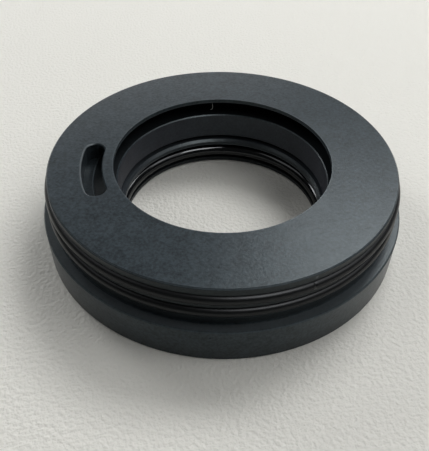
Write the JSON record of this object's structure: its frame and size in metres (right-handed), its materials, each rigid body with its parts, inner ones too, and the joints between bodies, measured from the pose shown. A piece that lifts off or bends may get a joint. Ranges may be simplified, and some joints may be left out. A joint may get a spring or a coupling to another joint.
{
  "type": "bearing isolator",
  "caption": "Flanged labyrinth bearing isolator: grooved PTFE stator with O-rings and an oil drain slot, around a PTFE rotor that a bore O-ring drives with the shaft.",
  "frame": {"origin": "centre of the outboard flange face, which the part lies on, on the shaft axis", "axes": "+Z along the shaft axis from the outboard flange face to the inboard face; -X through the middle of the oil drain slot"},
  "size_m": [0.095, 0.095, 0.0212],
  "materials": {
    "stator_ptfe": "turned, matte dark grey filled PTFE",
    "rotor_ptfe": "turned, matte dark grey filled PTFE",
    "seal_rubber": "moulded black rubber, slightly glossy",
    "lock_ptfe": "plain off-white PTFE"
  },
  "bodies": {
    "stator_unit": {"stator": "stator_ptfe", "inboard_o_ring": "seal_rubber", "outboard_o_ring": "seal_rubber", "unitizing_ring": "lock_ptfe"},
    "rotor_unit": {"rotor": "rotor_ptfe", "drive_o_ring": "seal_rubber"}
  },
  "joints": [
    {"name": "rotor_spin", "type": "hinge", "parent": "stator_unit", "child": "rotor_unit", "pos_m": [0, 0, 0], "axis": [0, 0, 1], "continuous": true}
  ]
}
